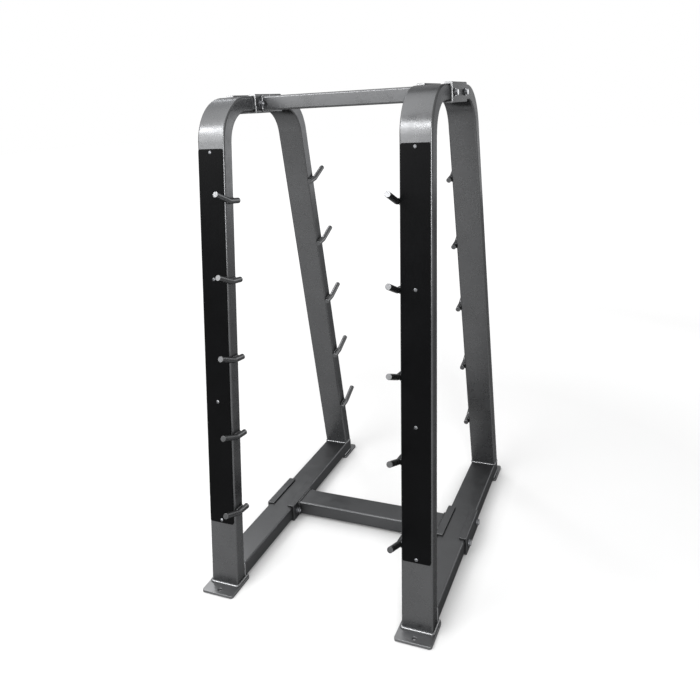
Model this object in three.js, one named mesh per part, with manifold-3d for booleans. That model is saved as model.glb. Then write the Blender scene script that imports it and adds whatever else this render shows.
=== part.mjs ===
// Storage rack for fixed-weight barbells, all lengths in millimetres.
//
// Two side frames stand across X. Each is an arch bent from one flat rectangular tube: a front
// leg that leans back, a level top and a rear leg that leans forward. A base rail ties the feet
// of each arch, and two crossbars bolt the frames together. Round rod hooks on the inner side of
// every leg carry the bars, with the front legs faced by guard panels.
//
// X runs across the rack to the right, -Y is the front, +Z is up. The origin lies on the floor
// in the middle of the rack's footprint.

import * as THREE from "three";
import { mergeVertices } from "three/addons/utils/BufferGeometryUtils.js";
import Module from "manifold-3d";

// Tube stock, shared by arches, rails and crossbars
const TUBE_WIDE = 101.6;
const TUBE_DEEP = 50.8;
const TUBE_WALL = 3;
const TUBE_CORNER = 6.5;

// Overall layout
const INSIDE_WIDTH = 594;
const ARCH_HEIGHT = 1660;
const BASE_LENGTH = 1032;
const FRONT_LEAN = THREE.MathUtils.degToRad(6.2);
const REAR_LEAN = THREE.MathUtils.degToRad(9.9);
const ARCH_BEND_RADIUS = 134;
const ARCH_BEND_STEPS = 8;

// Foot plates, one under each corner, with the anchor hole in the part that sticks out
const FOOT_SIDE = 120;
const FOOT_THICKNESS = 9.5;
const FOOT_CORNER = 9;
const FOOT_TOE = 51;
const FOOT_HEEL = 40;
const ANCHOR_HOLE = 14;
const ANCHOR_INSET = 20;

// Saddles: channels that hug a tube from both sides where a crossbar is bolted through it
const SADDLE_END_MARGIN = 28;
const SADDLE_REACH = 28;
const SADDLE_THICKNESS = 7;
const SADDLE_CORNER = 4;

// Through bolts: hexagon head and washer outside, washer and nut inside
const BOLT_DIAMETER = 12;
const BOLT_FROM_CROSSBAR = 16.2;
const BOLT_HEAD_FLATS = 19;
const BOLT_HEAD_HEIGHT = 7.5;
const NUT_HEIGHT = 10;
const BOLT_TAIL = 4;
const WASHER_DIAMETER = 24;
const WASHER_THICKNESS = 2.5;

// Hooks: a short arm across the side of the leg, a bend, and the long arm that carries the bar
const HOOK_ROD = 19;
const HOOK_COUNT = 5;
const HOOK_FIRST_HEIGHT = 275;
const HOOK_FROM_TOP = 331;
const HOOK_REACH = 74;
const HOOK_TAIL = 10;
const HOOK_BEND_INSET = 8;
const HOOK_BEND_RADIUS = 30;
const HOOK_BEND_STEPS = 4;
const HOOK_RISE = THREE.MathUtils.degToRad(16);

// Guard panels on the front legs, and the screws that hold them
const PANEL_SIDE_MARGIN = 5.1;
const PANEL_FROM_FOOT = 224;
const PANEL_FROM_TOP = 164;
const PANEL_THICKNESS = 5;
const PANEL_CORNER = 6;
const SCREW_COUNT = 4;
const SCREW_END_MARGIN = 11;
const SCREW_HEAD_DIAMETER = 12;
const SCREW_HEAD_HEIGHT = 3.4;
const SCREW_DOME_STEPS = 3;
const SCREW_SHANK = 5.5;
const SCREW_GRIP = 7;

// Moulded plug in the open rear end of each base rail
const CAP_LIP = 3;
const CAP_SKIRT_DEPTH = 18;
const CAP_SKIRT_WALL = 2.2;

// Clearances
const SEAT = 0.3;
const BOLT_CLEARANCE = 0.5;
const SCREW_CLEARANCE = 0.4;
const CAP_CLEARANCE = 0.4;
const OVERRUN = 40;

// Facets on round forms
const CORNER_SEGMENTS = 2;
const ROD_SEGMENTS = 6;
const BOLT_SEGMENTS = 12;
const SCREW_SEGMENTS = 12;
const HOLE_SEGMENTS = 12;
const HEX_SIDES = 6;

// Places that follow from the sizes above
const archX = (INSIDE_WIDTH + TUBE_WIDE) / 2;
const footprint = FOOT_TOE + BASE_LENGTH + FOOT_HEEL;
const frontFaceY = FOOT_TOE - footprint / 2;
const rearFaceY = frontFaceY + BASE_LENGTH;
const railBottom = FOOT_THICKNESS + SEAT;
const railTop = railBottom + TUBE_DEEP;
const rearLegBottom = railTop + SEAT;
const topTubeZ = ARCH_HEIGHT - TUBE_DEEP / 2;
const bottomTubeZ = railBottom + TUBE_DEEP / 2;
const boltFromMiddle = TUBE_WIDE / 2 + BOLT_FROM_CROSSBAR;
const saddleLength = 2 * (boltFromMiddle + SADDLE_END_MARGIN);
const bottomCrossbarY = frontFaceY + BASE_LENGTH / 2;
const hookPitch = (ARCH_HEIGHT - HOOK_FIRST_HEIGHT - HOOK_FROM_TOP) / (HOOK_COUNT - 1);
const frontLegLength = (ARCH_HEIGHT - railBottom) / Math.cos(FRONT_LEAN);
const panelLength = frontLegLength - PANEL_FROM_FOOT - PANEL_FROM_TOP;

// Solids: three.js geometries joined and cut as closed bodies

const wasm = await Module();
wasm.setup();

function solid(geometry) {
  const bare = geometry.clone();
  bare.deleteAttribute("normal");
  bare.deleteAttribute("uv");
  const merged = mergeVertices(bare);
  const mesh = new wasm.Mesh({
    numProp: 3,
    vertProperties: new Float32Array(merged.attributes.position.array),
    triVerts: new Uint32Array(merged.index.array),
  });
  return new wasm.Manifold(mesh);
}

function geometryOf(body) {
  const mesh = body.getMesh();
  const geometry = new THREE.BufferGeometry();
  geometry.setAttribute("position", new THREE.BufferAttribute(new Float32Array(mesh.vertProperties), 3));
  geometry.setIndex(new THREE.BufferAttribute(new Uint32Array(mesh.triVerts), 1));
  geometry.computeVertexNormals();
  return geometry;
}

function cut(body, cutters) {
  let left = body;
  for (const cutter of cutters) {
    left = left.subtract(solid(cutter));
  }
  return left;
}

// Plane outlines

function roundedRectangle(width, height, radius) {
  const halfWidth = width / 2;
  const halfHeight = height / 2;
  const shape = new THREE.Shape();
  shape.moveTo(radius - halfWidth, -halfHeight);
  shape.lineTo(halfWidth - radius, -halfHeight);
  shape.absarc(halfWidth - radius, radius - halfHeight, radius, -Math.PI / 2, 0);
  shape.lineTo(halfWidth, halfHeight - radius);
  shape.absarc(halfWidth - radius, halfHeight - radius, radius, 0, Math.PI / 2);
  shape.lineTo(radius - halfWidth, halfHeight);
  shape.absarc(radius - halfWidth, halfHeight - radius, radius, Math.PI / 2, Math.PI);
  shape.lineTo(-halfWidth, radius - halfHeight);
  shape.absarc(radius - halfWidth, radius - halfHeight, radius, Math.PI, 1.5 * Math.PI);
  return shape;
}

// The inner corner of the tube follows its wall, and never closes up on a thick one.
function tubeProfile() {
  const innerCorner = Math.max(TUBE_CORNER - TUBE_WALL, TUBE_WALL / 4);
  const profile = roundedRectangle(TUBE_WIDE, TUBE_DEEP, TUBE_CORNER);
  profile.holes.push(
    roundedRectangle(TUBE_WIDE - 2 * TUBE_WALL, TUBE_DEEP - 2 * TUBE_WALL, innerCorner),
  );
  return profile;
}

// Paths that lie in one plane

// A path of stations, each with its point and direction. A profile swept along it keeps its
// x axis on the one line across the plane, so it never twists, and has a ring at every station.
class PlanePath extends THREE.Curve {
  constructor(stations, across) {
    super();
    this.stations = stations;
    this.across = across;
  }

  stationAt(u) {
    return this.stations[Math.round(u * (this.stations.length - 1))];
  }

  getPointAt(u, target = new THREE.Vector3()) {
    return target.copy(this.stationAt(u).point);
  }

  getTangentAt(u, target = new THREE.Vector3()) {
    return target.copy(this.stationAt(u).direction);
  }

  computeFrenetFrames(segments) {
    const tangents = [];
    const normals = [];
    const binormals = [];
    for (let i = 0; i <= segments; i++) {
      const tangent = this.getTangentAt(i / segments);
      tangents.push(tangent);
      normals.push(this.across.clone());
      binormals.push(tangent.clone().cross(this.across));
    }
    return { tangents, normals, binormals };
  }
}

const ACROSS_X = new THREE.Vector3(1, 0, 0);
const ACROSS_Y = new THREE.Vector3(0, 1, 0);

function station(y, z, directionY, directionZ) {
  return {
    point: new THREE.Vector3(0, y, z),
    direction: new THREE.Vector3(0, directionY, directionZ).normalize(),
  };
}

// Stations round a bend in the YZ plane, clockwise as seen with +Y to the right and +Z up.
function bendClockwise(centreY, centreZ, radius, fromAngle, toAngle, steps) {
  const stations = [];
  for (let i = 0; i <= steps; i++) {
    const angle = fromAngle + ((toAngle - fromAngle) * i) / steps;
    const y = centreY + radius * Math.cos(angle);
    const z = centreZ + radius * Math.sin(angle);
    stations.push(station(y, z, Math.sin(angle), -Math.cos(angle)));
  }
  return stations;
}

function sweep(profile, stations, across, curveSegments) {
  return new THREE.ExtrudeGeometry(profile, {
    steps: stations.length - 1,
    curveSegments,
    extrudePath: new PlanePath(stations, across),
  });
}

// Round cutters and pins, with their axis along X or Y

function pinAlongX(diameter, length, segments) {
  const pin = new THREE.CylinderGeometry(diameter / 2, diameter / 2, length, segments);
  return pin.rotateZ(Math.PI / 2);
}

function pinAlongY(diameter, length, segments) {
  return new THREE.CylinderGeometry(diameter / 2, diameter / 2, length, segments);
}

function pinAlongZ(diameter, length, segments) {
  return pinAlongY(diameter, length, segments).rotateX(Math.PI / 2);
}

// The two holes of a crossbar joint, through whatever stands on both sides of x
function boltHoles(x, y, z) {
  return [-boltFromMiddle, boltFromMiddle].map((offset) =>
    pinAlongX(BOLT_DIAMETER + 2 * BOLT_CLEARANCE, TUBE_WIDE + 2 * OVERRUN, HOLE_SEGMENTS).translate(
      x,
      y + offset,
      z,
    ),
  );
}

// Frames on the two legs. Each one stands at the foot of the leg's outer face, with +Z up along
// the leg and -Y straight out of that face.

function legFrame(lean, y, z, facesRear) {
  const leaning = new THREE.Group();
  leaning.rotation.x = -lean;
  const standing = new THREE.Group();
  standing.position.set(0, y, z);
  standing.rotation.z = facesRear ? Math.PI : 0;
  standing.add(leaning);
  standing.updateMatrixWorld(true);
  return { standing, leaning };
}

function frontLegFrame() {
  return legFrame(FRONT_LEAN, frontFaceY, railBottom, false);
}

function rearLegFrame() {
  return legFrame(REAR_LEAN, rearFaceY, rearLegBottom, true);
}

// Arch: centre line through the front leg, the front bend, the level top and the rear bend

function archCentreLine() {
  const half = TUBE_DEEP / 2;
  const frontY = frontFaceY + half * Math.cos(FRONT_LEAN);
  const frontZ = railBottom - half * Math.sin(FRONT_LEAN);
  const rearY = rearFaceY - half * Math.cos(REAR_LEAN);
  const rearZ = rearLegBottom - half * Math.sin(REAR_LEAN);

  const frontCornerY = frontY + (topTubeZ - frontZ) * Math.tan(FRONT_LEAN);
  const rearCornerY = rearY - (topTubeZ - rearZ) * Math.tan(REAR_LEAN);
  const topStartY = frontCornerY + ARCH_BEND_RADIUS * Math.tan(Math.PI / 4 - FRONT_LEAN / 2);
  const topEndY = rearCornerY - ARCH_BEND_RADIUS * Math.tan(Math.PI / 4 - REAR_LEAN / 2);
  const bendZ = topTubeZ - ARCH_BEND_RADIUS;

  const stations = [
    station(
      frontY - OVERRUN * Math.sin(FRONT_LEAN),
      frontZ - OVERRUN * Math.cos(FRONT_LEAN),
      Math.sin(FRONT_LEAN),
      Math.cos(FRONT_LEAN),
    ),
    ...bendClockwise(
      topStartY,
      bendZ,
      ARCH_BEND_RADIUS,
      Math.PI - FRONT_LEAN,
      Math.PI / 2,
      ARCH_BEND_STEPS,
    ),
    ...bendClockwise(topEndY, bendZ, ARCH_BEND_RADIUS, Math.PI / 2, REAR_LEAN, ARCH_BEND_STEPS),
    station(
      rearY + OVERRUN * Math.sin(REAR_LEAN),
      rearZ - OVERRUN * Math.cos(REAR_LEAN),
      Math.sin(REAR_LEAN),
      -Math.cos(REAR_LEAN),
    ),
  ];
  return { stations, topMiddleY: (topStartY + topEndY) / 2 };
}

const arch = archCentreLine();
const topCrossbarY = arch.topMiddleY;

function screwHeights() {
  const pitch = (panelLength - 2 * SCREW_END_MARGIN) / (SCREW_COUNT - 1);
  const heights = [];
  for (let i = 0; i < SCREW_COUNT; i++) {
    heights.push(PANEL_FROM_FOOT + SCREW_END_MARGIN + i * pitch);
  }
  return heights;
}

// The legs are cut level: the front one on its foot plate, the rear one on the rail.
function archGeometry() {
  const tube = solid(sweep(tubeProfile(), arch.stations, ACROSS_X, CORNER_SEGMENTS));

  const cutWide = TUBE_WIDE + 2 * OVERRUN;
  const cutLong = BASE_LENGTH / 2;
  const frontCut = new THREE.BoxGeometry(cutWide, cutLong, 4 * OVERRUN);
  frontCut.translate(0, frontFaceY, railBottom - 2 * OVERRUN);
  const rearCut = new THREE.BoxGeometry(cutWide, cutLong, 4 * OVERRUN);
  rearCut.translate(0, rearFaceY, rearLegBottom - 2 * OVERRUN);

  const { leaning } = frontLegFrame();
  const screwHoles = screwHeights().map((height) =>
    pinAlongY(SCREW_SHANK + 2 * SCREW_CLEARANCE, TUBE_DEEP, SCREW_SEGMENTS)
      .translate(0, 0, height)
      .applyMatrix4(leaning.matrixWorld),
  );

  const jointHoles = boltHoles(0, topCrossbarY, topTubeZ);
  return geometryOf(cut(tube, [frontCut, rearCut, ...jointHoles, ...screwHoles]));
}

// Base rail: butts on the back of the front leg, open at the rear for its plug

function railGeometry() {
  const start = frontFaceY + TUBE_DEEP / 2;
  const end = rearFaceY - CAP_LIP - SEAT;
  const line = [station(start, bottomTubeZ, 1, 0), station(end, bottomTubeZ, 1, 0)];
  const rail = solid(sweep(tubeProfile(), line, ACROSS_X, CORNER_SEGMENTS));

  const { leaning } = frontLegFrame();
  const legDeep = TUBE_DEEP + SEAT;
  const leg = new THREE.BoxGeometry(TUBE_WIDE + 2 * OVERRUN, legDeep, 4 * TUBE_DEEP);
  leg.translate(0, legDeep / 2, 0);
  leg.applyMatrix4(leaning.matrixWorld);

  return geometryOf(cut(rail, [leg, ...boltHoles(0, bottomCrossbarY, bottomTubeZ)]));
}

// Plug: a lip the size of the tube and a hollow skirt pushed inside it
function capGeometry() {
  const lip = new THREE.ExtrudeGeometry(roundedRectangle(TUBE_WIDE, TUBE_DEEP, TUBE_CORNER), {
    depth: CAP_LIP,
    bevelEnabled: false,
    curveSegments: CORNER_SEGMENTS,
  });

  const innerCorner = Math.max(TUBE_CORNER - TUBE_WALL, TUBE_WALL / 4);
  const inset = TUBE_WALL + CAP_CLEARANCE;
  const skirtWide = TUBE_WIDE - 2 * inset;
  const skirtHigh = TUBE_DEEP - 2 * inset;
  const outline = roundedRectangle(skirtWide, skirtHigh, innerCorner);
  outline.holes.push(
    roundedRectangle(skirtWide - 2 * CAP_SKIRT_WALL, skirtHigh - 2 * CAP_SKIRT_WALL, innerCorner / 2),
  );
  const skirt = new THREE.ExtrudeGeometry(outline, {
    depth: CAP_SKIRT_DEPTH + CAP_LIP / 2,
    bevelEnabled: false,
    curveSegments: CORNER_SEGMENTS,
  });
  skirt.translate(0, 0, CAP_LIP / 2);
  return geometryOf(solid(lip).add(solid(skirt)));
}

// Foot plate with rounded corners and one anchor hole near one edge
function footGeometry() {
  const plate = new THREE.ExtrudeGeometry(roundedRectangle(FOOT_SIDE, FOOT_SIDE, FOOT_CORNER), {
    depth: FOOT_THICKNESS,
    bevelEnabled: false,
    curveSegments: CORNER_SEGMENTS,
  });
  const hole = pinAlongZ(ANCHOR_HOLE, 2 * FOOT_THICKNESS, HOLE_SEGMENTS);
  hole.translate(0, ANCHOR_INSET - FOOT_SIDE / 2, FOOT_THICKNESS / 2);
  return geometryOf(cut(solid(plate), [hole]));
}

// Saddle on the +X side of a tube: a web against the side of the tube, with a leg over its top
// and another under it. The corners inside are square, clear of the tube's round ones.
function saddleGeometry() {
  const innerFace = TUBE_WIDE / 2 + SEAT;
  const outerFace = innerFace + SADDLE_THICKNESS;
  const legEnd = outerFace - SADDLE_REACH;
  const innerHalf = TUBE_DEEP / 2 + SEAT;
  const outerHalf = innerHalf + SADDLE_THICKNESS;
  const cornerX = outerFace - SADDLE_CORNER;
  const cornerY = outerHalf - SADDLE_CORNER;

  const section = new THREE.Shape();
  section.moveTo(legEnd, -outerHalf);
  section.lineTo(cornerX, -outerHalf);
  section.absarc(cornerX, -cornerY, SADDLE_CORNER, -Math.PI / 2, 0);
  section.lineTo(outerFace, cornerY);
  section.absarc(cornerX, cornerY, SADDLE_CORNER, 0, Math.PI / 2);
  section.lineTo(legEnd, outerHalf);
  section.lineTo(legEnd, innerHalf);
  section.lineTo(innerFace, innerHalf);
  section.lineTo(innerFace, -innerHalf);
  section.lineTo(legEnd, -innerHalf);

  const channel = new THREE.ExtrudeGeometry(section, {
    depth: saddleLength,
    bevelEnabled: false,
    curveSegments: CORNER_SEGMENTS,
  });
  channel.rotateX(Math.PI / 2);
  channel.translate(0, saddleLength / 2, 0);

  return geometryOf(cut(solid(channel), boltHoles(innerFace, 0, 0)));
}

const crossbarHalf = INSIDE_WIDTH / 2 - SEAT - SADDLE_THICKNESS - SEAT;

function crossbarGeometry() {
  const direction = new THREE.Vector3(1, 0, 0);
  const line = [
    { point: new THREE.Vector3(-crossbarHalf, 0, 0), direction },
    { point: new THREE.Vector3(crossbarHalf, 0, 0), direction },
  ];
  return geometryOf(solid(sweep(tubeProfile(), line, ACROSS_Y, CORNER_SEGMENTS)));
}

// Through bolt with its nut run on, head towards +X, measured from the middle of the tube
function boltGeometry() {
  const seat = TUBE_WIDE / 2 + SEAT + SADDLE_THICKNESS + SEAT;
  const hexAcross = BOLT_HEAD_FLATS / Math.cos(Math.PI / HEX_SIDES);
  const headX = seat + WASHER_THICKNESS;
  const tailEnd = headX + NUT_HEIGHT + BOLT_TAIL;
  const tip = BOLT_DIAMETER / 8;

  const shank = new THREE.LatheGeometry(
    [
      new THREE.Vector2(0, -tailEnd),
      new THREE.Vector2(BOLT_DIAMETER / 2 - tip, -tailEnd),
      new THREE.Vector2(BOLT_DIAMETER / 2, tip - tailEnd),
      new THREE.Vector2(BOLT_DIAMETER / 2, headX + BOLT_HEAD_HEIGHT / 2),
      new THREE.Vector2(0, headX + BOLT_HEAD_HEIGHT / 2),
    ],
    BOLT_SEGMENTS,
  ).rotateZ(-Math.PI / 2);
  const head = pinAlongX(hexAcross, BOLT_HEAD_HEIGHT, HEX_SIDES);
  head.translate(headX + BOLT_HEAD_HEIGHT / 2, 0, 0);
  const nut = pinAlongX(hexAcross, NUT_HEIGHT, HEX_SIDES);
  nut.translate(-headX - NUT_HEIGHT / 2, 0, 0);
  const washer = pinAlongX(WASHER_DIAMETER, WASHER_THICKNESS, BOLT_SEGMENTS);
  const outerWasher = washer.clone().translate(seat + WASHER_THICKNESS / 2, 0, 0);
  const innerWasher = washer.clone().translate(-seat - WASHER_THICKNESS / 2, 0, 0);

  let body = solid(shank);
  for (const piece of [head, nut, outerWasher, innerWasher]) {
    body = body.add(solid(piece));
  }
  return geometryOf(body);
}

// Hook in a leg frame: the short arm lies square across the side of the leg and ends behind it,
// the long arm rises out of the front of the leg
function hookGeometry() {
  const bendY = HOOK_BEND_INSET;
  const trim = HOOK_BEND_RADIUS * Math.tan(HOOK_RISE / 2);
  const tipZ = (HOOK_REACH + HOOK_BEND_INSET) * Math.tan(HOOK_RISE);
  const bend = bendClockwise(
    bendY + trim,
    HOOK_BEND_RADIUS,
    HOOK_BEND_RADIUS,
    -Math.PI / 2,
    -Math.PI / 2 - HOOK_RISE,
    HOOK_BEND_STEPS,
  );
  const stations = [
    station(TUBE_DEEP + HOOK_TAIL, 0, -1, 0),
    ...bend,
    station(-HOOK_REACH, tipZ, -Math.cos(HOOK_RISE), Math.sin(HOOK_RISE)),
  ];
  const rod = new THREE.Shape();
  rod.absarc(0, 0, HOOK_ROD / 2, 0, 2 * Math.PI);
  return geometryOf(solid(sweep(rod, stations, ACROSS_X, ROD_SEGMENTS)));
}

// Guard panel in the front leg frame, standing on its lower edge, with its screw holes
function panelGeometry() {
  const width = TUBE_WIDE - 2 * PANEL_SIDE_MARGIN;
  const sheet = new THREE.ExtrudeGeometry(roundedRectangle(width, panelLength, PANEL_CORNER), {
    depth: PANEL_THICKNESS,
    bevelEnabled: false,
    curveSegments: CORNER_SEGMENTS,
  });
  sheet.rotateX(Math.PI / 2);
  sheet.translate(0, -SEAT, PANEL_FROM_FOOT + panelLength / 2);
  const holes = screwHeights().map((height) =>
    pinAlongY(SCREW_SHANK + 2 * SCREW_CLEARANCE, TUBE_DEEP, SCREW_SEGMENTS).translate(0, 0, height),
  );
  return geometryOf(cut(solid(sheet), holes));
}

// Domed screw, seated on the panel and run through the wall of the leg
function screwGeometry() {
  const seat = SEAT + PANEL_THICKNESS + SEAT;
  const end = seat - PANEL_THICKNESS - TUBE_WALL - SCREW_GRIP;
  const profile = [
    new THREE.Vector2(0, end),
    new THREE.Vector2(SCREW_SHANK / 4, end),
    new THREE.Vector2(SCREW_SHANK / 2, end + SCREW_SHANK / 2),
    new THREE.Vector2(SCREW_SHANK / 2, seat),
  ];
  for (let i = 0; i < SCREW_DOME_STEPS; i++) {
    const angle = ((Math.PI / 2) * i) / SCREW_DOME_STEPS;
    const radius = (SCREW_HEAD_DIAMETER / 2) * Math.cos(angle);
    profile.push(new THREE.Vector2(radius, seat + SCREW_HEAD_HEIGHT * Math.sin(angle)));
  }
  profile.push(new THREE.Vector2(0, seat + SCREW_HEAD_HEIGHT));
  const screw = new THREE.LatheGeometry(profile, SCREW_SEGMENTS).rotateX(Math.PI);
  return geometryOf(solid(screw));
}

// Finishes

function powderCoat() {
  return new THREE.MeshStandardMaterial({ color: 0x74777a, roughness: 0.42, metalness: 0.35 });
}

function zincPlate() {
  return new THREE.MeshStandardMaterial({ color: 0xc4c7cb, roughness: 0.3, metalness: 1 });
}

function blackPlastic() {
  return new THREE.MeshStandardMaterial({ color: 0x141516, roughness: 0.5, metalness: 0 });
}

// Assembly

const rack = new THREE.Group();
rack.name = "barbell_storage_rack";

function place(parent, name, geometry, material, x, y, z) {
  const mesh = new THREE.Mesh(geometry, material);
  mesh.name = name;
  mesh.position.set(x, y, z);
  parent.add(mesh);
  return mesh;
}

const archShape = archGeometry();
const railShape = railGeometry();
const capShape = capGeometry();
const footShape = footGeometry();
const saddleShape = saddleGeometry();
const crossbarShape = crossbarGeometry();
const boltShape = boltGeometry();
const hookShape = hookGeometry();
const panelShape = panelGeometry();
const screwShape = screwGeometry();

// The left frame stands at -X. outward points from the middle of the rack to that frame's
// outer side, so its hooks and inner saddles face the other way.
function addSideFrame(side, outward) {
  const x = outward * archX;
  place(rack, `arch_${side}`, archShape, powderCoat(), x, 0, 0);
  place(rack, `base_rail_${side}`, railShape, powderCoat(), x, 0, 0);

  const cap = place(rack, `rail_end_cap_${side}`, capShape, blackPlastic(), x, rearFaceY, bottomTubeZ);
  cap.rotation.x = Math.PI / 2;

  const footInset = FOOT_SIDE / 2;
  const frontFootY = frontFaceY - FOOT_TOE + footInset;
  const rearFootY = rearFaceY + FOOT_HEEL - footInset;
  place(rack, `foot_plate_front_${side}`, footShape, powderCoat(), x, frontFootY, 0);
  const rearFoot = place(rack, `foot_plate_rear_${side}`, footShape, powderCoat(), x, rearFootY, 0);
  rearFoot.rotation.z = Math.PI;

  for (const [level, y, z] of [
    ["top", topCrossbarY, topTubeZ],
    ["bottom", bottomCrossbarY, bottomTubeZ],
  ]) {
    const inner = place(rack, `${level}_inner_saddle_${side}`, saddleShape, powderCoat(), x, y, z);
    inner.rotation.z = outward > 0 ? Math.PI : 0;
    const outer = place(rack, `${level}_outer_saddle_${side}`, saddleShape, powderCoat(), x, y, z);
    outer.rotation.z = outward > 0 ? 0 : Math.PI;
    for (const [end, offset] of [
      ["front", -boltFromMiddle],
      ["rear", boltFromMiddle],
    ]) {
      const name = `through_bolt_${level}_${side}_${end}`;
      const bolt = place(rack, name, boltShape, zincPlate(), x, y + offset, z);
      bolt.rotation.y = outward > 0 ? 0 : Math.PI;
    }
  }

  const rodOffset = TUBE_WIDE / 2 + SEAT + HOOK_ROD / 2;
  for (const [leg, frame, lean, foot, turn] of [
    ["front", frontLegFrame(), FRONT_LEAN, railBottom, 1],
    ["rear", rearLegFrame(), REAR_LEAN, rearLegBottom, -1],
  ]) {
    frame.standing.position.x = x;
    rack.add(frame.standing);
    for (let i = 0; i < HOOK_COUNT; i++) {
      const height = HOOK_FIRST_HEIGHT + i * hookPitch;
      const along = (height - foot) / Math.cos(lean);
      const name = `hook_${leg}_${side}_${i + 1}`;
      place(frame.leaning, name, hookShape, powderCoat(), -outward * turn * rodOffset, 0, along);
    }
    if (leg === "front") {
      place(frame.leaning, `guard_panel_${side}`, panelShape, blackPlastic(), 0, 0, 0);
      screwHeights().forEach((along, i) => {
        place(frame.leaning, `panel_screw_${side}_${i + 1}`, screwShape, zincPlate(), 0, 0, along);
      });
    }
  }
}

addSideFrame("left", -1);
addSideFrame("right", 1);

place(rack, "top_crossbar", crossbarShape, powderCoat(), 0, topCrossbarY, topTubeZ);
place(rack, "bottom_crossbar", crossbarShape, powderCoat(), 0, bottomCrossbarY, bottomTubeZ);

rack.updateMatrixWorld(true);

export default rack;
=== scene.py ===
# A storage rack for fixed-weight barbells. Two side frames bent from flat tube stand on foot plates,
# two bolted crossbars join them, and rod hooks on every leg carry the bars.
# All sizes are in metres. X runs to the right, -Y is the front and +Z is up.

import math

import bmesh
import bpy
from mathutils import Matrix, Vector


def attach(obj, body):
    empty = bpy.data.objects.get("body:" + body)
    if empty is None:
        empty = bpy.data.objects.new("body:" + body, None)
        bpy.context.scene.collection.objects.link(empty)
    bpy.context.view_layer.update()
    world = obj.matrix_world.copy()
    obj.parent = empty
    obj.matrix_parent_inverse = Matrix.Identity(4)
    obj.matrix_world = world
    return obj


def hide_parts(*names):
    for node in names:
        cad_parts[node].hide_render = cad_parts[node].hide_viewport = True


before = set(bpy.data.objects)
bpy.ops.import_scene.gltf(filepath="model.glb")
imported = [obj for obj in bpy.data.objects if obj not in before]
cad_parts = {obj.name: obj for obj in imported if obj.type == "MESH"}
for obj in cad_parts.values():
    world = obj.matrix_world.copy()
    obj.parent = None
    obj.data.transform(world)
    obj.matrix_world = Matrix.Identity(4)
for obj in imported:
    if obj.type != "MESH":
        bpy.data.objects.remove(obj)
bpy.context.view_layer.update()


# Side frames. Each is one length of 4 x 2 inch flat steel tube, bent twice on a bender into a front
# leg, a level top and a rear leg. It is cut level at both feet, welded to its plates and rail, and
# then powder coated in a metallic grey.

SIDES = (("left", -1), ("right", 1))
TUBE_WIDE = 0.1016
TUBE_DEEP = 0.0508
TUBE_WALL = 0.003
TUBE_CORNER = 0.0065
TUBE_CORNER_STEPS = 6
FRAME_X = 0.3478
FRAME_TOP = 1.6346
BEND_RADIUS = 0.134
BEND_STEPS = 22
FRONT_LEAN = math.radians(6.2)
REAR_LEAN = math.radians(9.9)
FRONT_FACE = -0.5105
REAR_FACE = 0.5215
RAIL_BOTTOM = 0.0098
RAIL_TOP = 0.0606
REAR_LEG_BOTTOM = 0.0609
TOUCHING = 1e-6
JOINED_WITHIN = 1e-5
QUARTER_TURN = math.pi / 2
HALF_TURN = math.pi

COAT_GREY = (0.082, 0.083, 0.085, 1.0)
COAT_FLECK = (0.110, 0.112, 0.115, 1.0)
COAT_RUBBED = (0.22, 0.223, 0.227, 1.0)
COAT_GRAZED = (0.34, 0.34, 0.34, 1.0)
COAT_THIN = 0.90
COAT_THICK = 1.06
COAT_METAL = 0.86
COAT_DULLNESS = 0.28
EDGE_WEAR = (0.22, 0.60)
RUBBED_REACH = 0.0016
FLECK_FINENESS = 2600.0
CLOUD_FINENESS = 7.0
SCUFF_FINENESS = 34.0
HAZE_FINENESS = 28.0
PEEL_FINENESS = 420.0
PEEL_STRENGTH = 0.12
PEEL_DEPTH = 0.00007


def new_finish(name):
    """A new material, with its nodes, its links, its shader and the place on the piece."""
    finish = bpy.data.materials.new(name)
    finish.use_nodes = True
    nodes = finish.node_tree.nodes
    links = finish.node_tree.links
    place = nodes.new("ShaderNodeTexCoord").outputs["Object"]
    return finish, nodes, links, nodes["Principled BSDF"], place


def spun_noise(nodes, links, place, fineness, detail, roughness=0.5):
    """Cloudy noise, with more clouds to the metre as the fineness grows."""
    noise = nodes.new("ShaderNodeTexNoise")
    noise.inputs["Scale"].default_value = fineness
    noise.inputs["Detail"].default_value = detail
    noise.inputs["Roughness"].default_value = roughness
    links.new(place, noise.inputs["Vector"])
    return noise.outputs["Fac"]


def span(nodes, links, value, low, high, to_low=0.0, to_high=1.0):
    """A value taken from one range to another."""
    reach = nodes.new("ShaderNodeMapRange")
    reach.inputs["From Min"].default_value = low
    reach.inputs["From Max"].default_value = high
    reach.inputs["To Min"].default_value = to_low
    reach.inputs["To Max"].default_value = to_high
    links.new(value, reach.inputs["Value"])
    return reach.outputs["Result"]


def reckoned(nodes, links, operation, first, second):
    """The product of two shares, or their sum, which stops at 1."""
    step = nodes.new("ShaderNodeMath")
    step.operation = operation
    step.use_clamp = operation == "ADD"
    links.new(first, step.inputs[0])
    links.new(second, step.inputs[1])
    return step.outputs["Value"]


def blend_colours(nodes, links, share, first, second):
    """The first colour where the share is 0 and the second where it is 1."""
    mix = nodes.new("ShaderNodeMix")
    mix.data_type = "RGBA"
    links.new(share, mix.inputs[0])
    for socket, colour in ((mix.inputs[6], first), (mix.inputs[7], second)):
        if isinstance(colour, tuple):
            socket.default_value = colour
        else:
            links.new(colour, socket)
    return mix.outputs[2]


def shade_of(colour, factor):
    """A lighter or darker shade of a colour."""
    return tuple(factor * part for part in colour[:3]) + (1.0,)


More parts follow.
